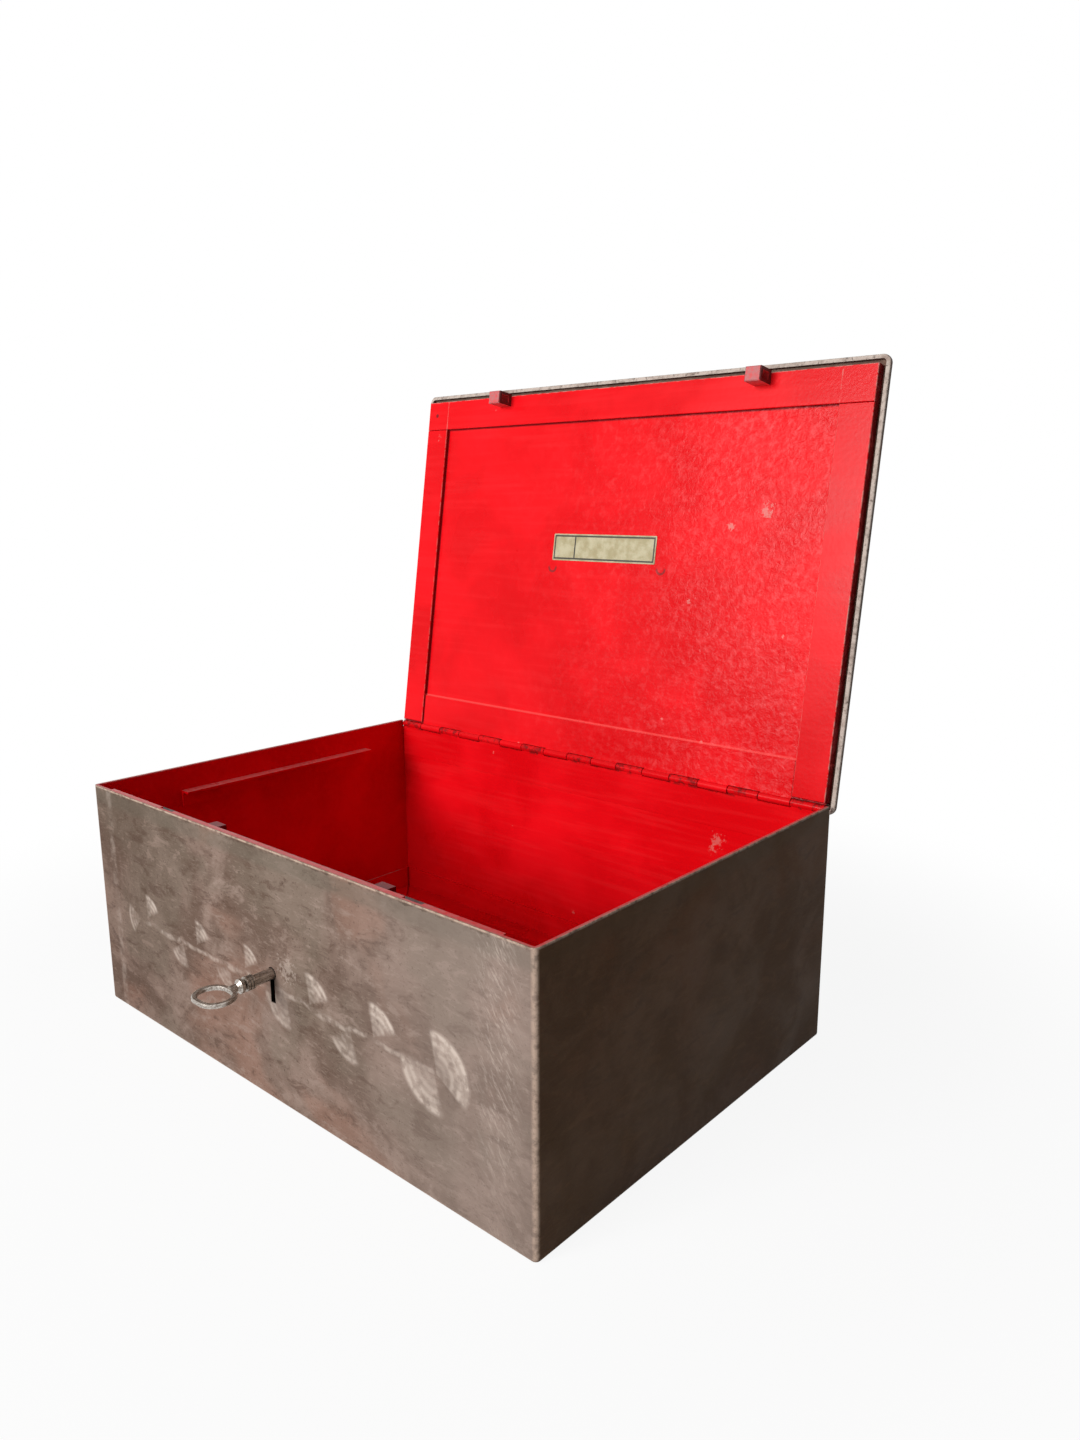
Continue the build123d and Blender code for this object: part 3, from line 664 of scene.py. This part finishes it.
# %% [markdown]
# ## Sizes on the lid
# The lid's finishes follow the edges of its bars, leaf, skin and plate. Those edges are found
# by turning the corners of each piece into the lid's own three directions.

# %% Helper and sizes of the lid
def lid_spread(name):
    """The corners of a lid piece, measured from the hinge: all across, all up and all out."""
    points = [Vector(vertex.co) * MM - hinge_point for vertex in nodes[name].data.vertices]
    across = [point.x for point in points]
    ups = [point.dot(lid_up) for point in points]
    outs = [point.dot(lid_out) for point in points]
    return across, ups, outs


bar_across, bar_ups, _ = lid_spread("frame_bar_front")
_, leaf_ups, _ = lid_spread("hinge_leaf_lid")
frame_top = max(bar_ups)
frame_low = min(bar_ups)
frame_side = max(bar_across)
bar_width = frame_top - frame_low
lining_side = frame_side - bar_width
leaf_top = max(leaf_ups)
print("frame top", round(frame_top, 1), "bar", round(bar_width, 1), "leaf", round(leaf_top, 1))

# %% [markdown]
# ## The inside of the lid: edges and gaps
# The lining is the largest red face in view. Painted shade runs as dark lines where it meets the
# bars, a painted highlight runs as a light line where it meets the leaf of the hinge, and the edges
# of the bars are rubbed raw in places.

# %% Lid material: edges and gaps
lid_finish, tree, shader = new_finish("LidPaint", metallic=0.0, ior=1.2)
place = use(tree, lid_place).outputs["Place"]
x, up, out = split(tree, place)
paint = use(tree, red_gloss, {"Place": place})
side = maths(tree, "ABSOLUTE", x)
on_bar = ramp(tree, out, 0.6, 1.0)
off_bar = maths(tree, "SUBTRACT", 1.0, on_bar)
shade_start = 1.6
shade_full = 0.4
shade_by_sides = ramp(tree, side, lining_side - shade_start, lining_side - shade_full)
shade_by_top = ramp(tree, up, frame_low - shade_start, frame_low - shade_full)
bar_gap_shade = overlap(tree, either(tree, shade_by_sides, shade_by_top), off_bar)
leaf_edge_highlight = ramp(tree, gap_to(tree, up, leaf_top + 0.4), 1.0, 0.2)
raw_start = 0.7
raw_full = 0.2
side_edge = ramp(tree, side, frame_side - raw_start, frame_side - raw_full)
top_edge = ramp(tree, up, frame_top - raw_start, frame_top - raw_full)
inner_edge = overlap(tree, ramp(tree, gap_to(tree, side, lining_side), 0.6, 0.2), 0.5)
raw_patches = ramp(tree, noise(tree, place, 0.2, 4.0, 0.7), 0.38, 0.62)
raw = overlap(tree, either(tree, side_edge, top_edge, inner_edge), on_bar, raw_patches)
lid_colour = lay_over(tree, paint.outputs["Colour"], [
    # painted shade in the gaps beside the bars
    (overlap(tree, bar_gap_shade, 0.8), (0.130, 0.004, 0.006, 1)),
    # painted highlight along the edge of the leaf
    (overlap(tree, leaf_edge_highlight, off_bar, 0.55), (0.820, 0.110, 0.100, 1)),
    (overlap(tree, raw, 0.7), (0.560, 0.330, 0.280, 1)),
])
print("lid edges and gap lines ready")

# %% [markdown]
# ## The inside of the lid: chips, curls and a dot
# A few chips are scattered over the lining and the left bar. Two dark curls are under the ends
# of the plate, each the lower part of a thin ring. A small dark dot is at the top left corner.

# %% Lid material: chips, curls and dot
lid_chips = [
    ((124.8, 175.8, -1.0), 9.0), ((100.6, 166.1, -1.0), 4.5),
    ((-174.2, 232.2, -1.0), 5.0), ((75.0, 117.0, -1.0), 3.0),
]
lid_colour = chipped(tree, place, lid_colour, lid_chips, (0.620, 0.270, 0.240, 1))
curl_radius = 3.2
for curl_across, curl_up in [(-44.4, 134.5), (50.3, 136.5)]:
    from_curl = measure(tree, "DISTANCE", place, (curl_across, curl_up, -1.4))
    ring = ramp(tree, gap_to(tree, from_curl, curl_radius), 1.1, 0.4)
    lower = ramp(tree, maths(tree, "SUBTRACT", up, curl_up), 1.5, -0.8)
    lid_colour = blend(tree, overlap(tree, ring, lower, 0.9), lid_colour, (0.220, 0.020, 0.020, 1))
from_dot = measure(tree, "DISTANCE", place, (-177.5, 248.9, 1.6))
lid_colour = blend(tree, ramp(tree, from_dot, 1.7, 1.1, 0.0, 0.85), lid_colour, (0.110, 0.010, 0.012, 1))
print("lid chips:", len(lid_chips))

# %% [markdown]
# ## The inside of the lid: blisters
# The paint is blistered, more and more towards the right. The zone grows across the lid, and
# slow noise moves it so that it has no straight border. In it the surface is raised in bumps,
# and a paler red is dappled over them as painted highlights.

# %% Lid material: blisters
drift = sway(tree, noise(tree, place, 0.02, 3.0), 160.0)
blister_zone = ramp(tree, maths(tree, "ADD", x, drift), -90.0, 160.0, 0.05, 1.0)
blister_zone = overlap(tree, blister_zone, off_bar)
blister_rise = 5.0
blisters = overlap(tree, noise(tree, place, 0.22, 4.0, 0.62, 0.4), blister_zone, blister_rise)
lid_bumps = maths(tree, "ADD", paint.outputs["Height"], blisters)
dapple_highlight = ramp(tree, noise(tree, place, 0.20, 5.0, 0.7, 0.4), 0.46, 0.70, 0.0, 0.40)
# painted highlights dappled over the blisters
lid_colour = blend(tree, overlap(tree, dapple_highlight, blister_zone), lid_colour, (0.860, 0.115, 0.120, 1))
surface(tree, shader, lid_colour, paint.outputs["Roughness"], lid_bumps, 0.55)
dress(lid_finish, ["lid_lining", "frame_bar_front", "frame_bar_left", "frame_bar_right", "hinge_leaf_lid"])

# %% [markdown]
# ## The lid's outer skin
# Outside it is the same old steel as the body. Its folded rim is what shows from the front. The
# lip of the rim is rubbed to a light warm metal with dark spots, and the faces of the rim that
# look inward are darkened brown as painted shade in the groove.

# %% Finish for the lid's skin
skin_finish, tree, shader = new_finish("LidSteel", metallic=0.0, ior=1.12)
place = use(tree, lid_place).outputs["Place"]
x, up, out = split(tree, place)
steel = use(tree, aged_steel, {"Place": place})
skin_across, skin_ups, skin_outs = lid_spread("lid_shell")
lip_out = max(skin_outs)
skin_back = min(skin_outs)
edge_band = 2.5
past_side = maths(tree, "SUBTRACT", maths(tree, "ABSOLUTE", x), max(skin_across) - edge_band)
past_top = maths(tree, "SUBTRACT", up, max(skin_ups) - edge_band)
within_edge = ramp(tree, either(tree, past_side, past_top), 0.1, -0.1)
groove_shade = ramp(tree, out, lip_out - 5.0, lip_out - 3.0, 0.9, 0.2)
before_back = ramp(tree, out, skin_back + 0.5, skin_back + 0.9)
on_lip = ramp(tree, out, lip_out - 1.6, lip_out - 0.2)
lip_patches = ramp(tree, noise(tree, place, 0.18, 4.0, 0.7), 0.30, 0.60, 0.35, 0.95)
lip_spots = ramp(tree, noise(tree, place, 0.35, 4.0, 0.7), 0.56, 0.66, 0.0, 0.7)
skin_colour = lay_over(tree, steel.outputs["Colour"], [
    # all of the skin behind the lip
    (ramp(tree, out, lip_out - 2.0, lip_out - 4.0), (0.72, 0.58, 0.44, 1), "MULTIPLY"),
    (overlap(tree, on_lip, lip_patches), (0.520, 0.440, 0.385, 1)),
    (overlap(tree, lip_spots, on_lip), (0.070, 0.050, 0.040, 1)),
    # painted shade in the groove beside the bars
    (overlap(tree, within_edge, groove_shade, before_back), (0.180, 0.105, 0.090, 1)),
])
surface(tree, shader, skin_colour, steel.outputs["Roughness"], steel.outputs["Height"], 0.35)
dress(skin_finish, ["lid_shell"])

# %% [markdown]
# ## The lugs
# Two small blocks stand out from the lid's front edge and take the locking bar. Their paint is
# worn to a dull pink, most at the tips, and the side faces with the eyes are darkened with
# painted shade.

# %% Finish for the lugs
lug_finish, tree, shader = new_finish("LugPaint", metallic=0.0, ior=1.2)
place = use(tree, lid_place).outputs["Place"]
paint = use(tree, red_gloss, {"Place": place})
_, _, out = split(tree, place)
looks_sideways, _, _ = split(tree, add(tree, "ShaderNodeTexCoord").outputs["Normal"])
tip_wear = ramp(tree, out, 4.0, 13.0, 0.35, 0.95)
lug_patches = ramp(tree, noise(tree, place, 0.35, 4.0, 0.65), 0.30, 0.62, 0.5, 1.0)
side_shade = ramp(tree, maths(tree, "ABSOLUTE", looks_sideways), 0.3, 0.8, 0.0, 0.85)
lug_colour = lay_over(tree, paint.outputs["Colour"], [
    (overlap(tree, tip_wear, lug_patches), (0.440, 0.165, 0.165, 1)),
    # painted shade on the side faces
    (side_shade, (0.060, 0.012, 0.012, 1)),
])
surface(tree, shader, lug_colour, paint.outputs["Roughness"], paint.outputs["Height"], 0.3)
dress(lug_finish, ["lid_lug_left", "lid_lug_right"])

# %% [markdown]
# ## The plate on the lid
# A bare cream plate with a dark border and one dividing line. The border is drawn from the
# distance to the plate's own edges, so it stays even all round. Fine dark specks age the cream.

# %% Finish for the plate
plate_finish, tree, shader = new_finish("PlateCream", metallic=0.0, ior=1.35)
plate_across, plate_ups, _ = lid_spread("label_plate")
plate_half = max(plate_across)
plate_middle = (min(plate_ups) + max(plate_ups)) / 2
plate_half_height = (max(plate_ups) - min(plate_ups)) / 2
border_inset = 1.5
divider_inset = 20.0
place = use(tree, lid_place).outputs["Place"]
x, up, _ = split(tree, place)
from_side = maths(tree, "SUBTRACT", plate_half, maths(tree, "ABSOLUTE", x))
from_end = maths(tree, "SUBTRACT", plate_half_height, gap_to(tree, up, plate_middle))
inward = maths(tree, "MINIMUM", from_side, from_end)
border = ramp(tree, gap_to(tree, inward, border_inset), 0.75, 0.45)
divider = ramp(tree, gap_to(tree, x, divider_inset - plate_half), 0.75, 0.45)
divider = overlap(tree, divider, ramp(tree, inward, 1.0, 1.6))
aged = noise(tree, place, 0.12, 4.0, 0.65)
fine = noise(tree, place, 0.9, 3.0, 0.7)
dark_cream = (0.350, 0.300, 0.165, 1)
light_cream = (0.470, 0.425, 0.275, 1)
cream = blend(tree, ramp(tree, aged, 0.35, 0.65), dark_cream, light_cream)
plate_colour = lay_over(tree, cream, [
    (ramp(tree, fine, 0.60, 0.72, 0.0, 0.35), (0.220, 0.170, 0.090, 1)),
    (either(tree, border, divider), (0.045, 0.040, 0.030, 1)),
])
surface(tree, shader, plate_colour, ramp(tree, aged, 0.3, 0.7, 0.32, 0.48), fine, 0.15)
dress(plate_finish, ["label_plate"])


# %% [markdown]
# ## Metals of the lock and the key
# The key is bright from handling, the bar, bolt and pins are dark worked steel, and the levers
# are brass. They share one recipe: a light and a dark colour in streaks along the piece, and
# darker spots. Only the numbers differ.

# %% Helper and finishes for the metals
def metal_finish(name, light, dark, roughness, streak, metallic=0.9):
    """A plain metal with streaks and darker spots."""
    finish, tree, shader = new_finish(name, metallic)
    place = use(tree, box_place).outputs["Place"]
    streaks = noise(tree, stretch(tree, place, streak), 0.9, 4.0, 0.65)
    cloud = noise(tree, place, 0.2, 4.0, 0.6)
    colour = blend(tree, ramp(tree, streaks, 0.35, 0.65), dark, light)
    colour = blend(tree, ramp(tree, cloud, 0.58, 0.72, 0.0, 0.6), colour, dark)
    surface(tree, shader, colour, ramp(tree, cloud, 0.3, 0.7, *roughness), streaks, 0.2)
    return finish


key_finish = metal_finish(
    "KeySteel", (0.58, 0.53, 0.48, 1), (0.24, 0.20, 0.17, 1), (0.20, 0.34), (1.6, 0.3, 1.6)
)
lock_finish = metal_finish(
    "LockSteel", (0.11, 0.08, 0.07, 1), (0.03, 0.018, 0.015, 1), (0.40, 0.60), (0.2, 1.4, 1.4), 0.5
)
brass_finish = metal_finish(
    "LeverBrass", (0.72, 0.53, 0.24, 1), (0.42, 0.29, 0.12, 1), (0.28, 0.42), (0.3, 1.0, 1.4)
)
dress(key_finish, ["key"])
dress(lock_finish, [
    "locking_bar", "bar_tongue_left", "bar_tongue_right", "bolt_plate", "key_post", "lever_pivot",
    "hinge_pin",
])
dress(brass_finish, ["lever_1", "lever_2", "lever_3"])


# %% [markdown]
# ## The floor
# The box stands on a white floor in a white room. The camera sees the floor as nearly plain
# white, but near the box a share of it is ordinary lit floor, so the shadow stays. Light Path
# tells rays that come from the camera, or by way of a shine, from the light on the object.

# %% Helper and floor
def seen_by(tree, *kinds):
    """1 for the named kinds of ray and 0 for all others."""
    rays = add(tree, "ShaderNodeLightPath")
    return either(tree, *[rays.outputs[kind] for kind in kinds])


floor_mesh = bpy.data.meshes.new("floor")
floor_shape = bmesh.new()
bmesh.ops.create_grid(floor_shape, x_segments=1, y_segments=1, size=6.0)
floor_shape.to_mesh(floor_mesh)
floor_shape.free()
floor = bpy.data.objects.new("floor", floor_mesh)
bpy.context.scene.collection.objects.link(floor)
hair_below_base = 0.0004
floor.location.z = -hair_below_base
floor_finish = bpy.data.materials.new("FloorWhite")
floor_finish.use_nodes = True
tree = floor_finish.node_tree
tree.nodes.clear()
matte = add(tree, "ShaderNodeBsdfDiffuse", {"Color": (0.82, 0.82, 0.82, 1)})
glow = add(tree, "ShaderNodeEmission", {"Color": (1, 1, 1, 1), "Strength": 1.0})
floor_place = add(tree, "ShaderNodeTexCoord").outputs["Object"]
far_out = add(tree, "ShaderNodeVectorMath", {0: floor_place}, operation="LENGTH").outputs["Value"]
white_share = ramp(tree, far_out, 0.28, 0.60, 0.91, 1.0)
glowing = overlap(tree, seen_by(tree, "Is Camera Ray", "Is Glossy Ray"), white_share)
both = add(tree, "ShaderNodeMixShader", {0: glowing, 1: matte.outputs[0], 2: glow.outputs[0]})
add(tree, "ShaderNodeOutputMaterial", {"Surface": both.outputs[0]})
floor_mesh.materials.append(floor_finish)
print("floor laid")

# %% [markdown]
# ## The white surround
# The world is plain white where it is seen and weak where it lights the object. The lamps can
# then shape the box, and the metal still has a white room to mirror.

# %% White world
world = bpy.data.worlds.new("WhiteRoom")
bpy.context.scene.world = world
world.use_nodes = True
tree = world.node_tree
tree.nodes.clear()
seen = seen_by(tree, "Is Camera Ray", "Is Glossy Ray", "Is Transmission Ray")
room_light = 0.12
strength = choose(tree, seen, room_light, 1.0)
background = add(tree, "ShaderNodeBackground", {"Color": (1, 1, 1, 1), "Strength": strength})
add(tree, "ShaderNodeOutputWorld", {"Surface": background.outputs[0]})
bpy.context.scene.view_settings.view_transform = "Standard"
print("world strength on the object:", room_light)


# %% [markdown]
# ## Soft lamps
# One broad lamp stands in front and to the left, so the faces that look forward are bright and
# the right side falls into shade, as in the photograph. A weak one lifts the lid.

# %% Helper and lamps
def soft_lamp(name, place, target, size, power):
    """A square area lamp at a place, aimed at a target."""
    data = bpy.data.lights.new(name, "AREA")
    data.size = size
    data.energy = power
    lamp = bpy.data.objects.new(name, data)
    lamp.location = place
    lamp.rotation_euler = (Vector(target) - Vector(place)).to_track_quat("-Z", "Y").to_euler()
    bpy.context.scene.collection.objects.link(lamp)
    print(name, place, power, "W")


soft_lamp("lamp_front_left", (-0.22, -2.0, 1.0), (0.0, 0.0, 0.15), 0.9, 42.0)
soft_lamp("lamp_lid", (-0.60, -1.7, 0.8), (0.0, 0.13, 0.28), 0.55, 12.0)

# %% [markdown]
# ## The camera
# The camera stands where the photograph was taken: in front of the right corner and above the
# rim. Its place and lens come from matching the corners of the box to the picture. The small
# roll is the tilt of the picture itself.

# %% Camera
camera_data = bpy.data.cameras.new("camera")
camera_data.sensor_fit = "AUTO"
camera_data.sensor_width = 36.0
camera_data.lens = 25.947
camera_data.shift_x = 0.0074
camera_data.shift_y = -0.0025
camera_data.clip_start = 0.01
camera = bpy.data.objects.new("camera", camera_data)
bpy.context.scene.collection.objects.link(camera)
camera.location = (0.45058, -0.42731, 0.32791)
view_direction = Vector((-0.6521, 0.7294, -0.2066))
roll = Quaternion((0.0, 0.0, 1.0), -0.00519)
camera.rotation_mode = "QUATERNION"
camera.rotation_quaternion = view_direction.to_track_quat("-Z", "Y") @ roll
bpy.context.scene.camera = camera
print("camera at", tuple(camera.location))
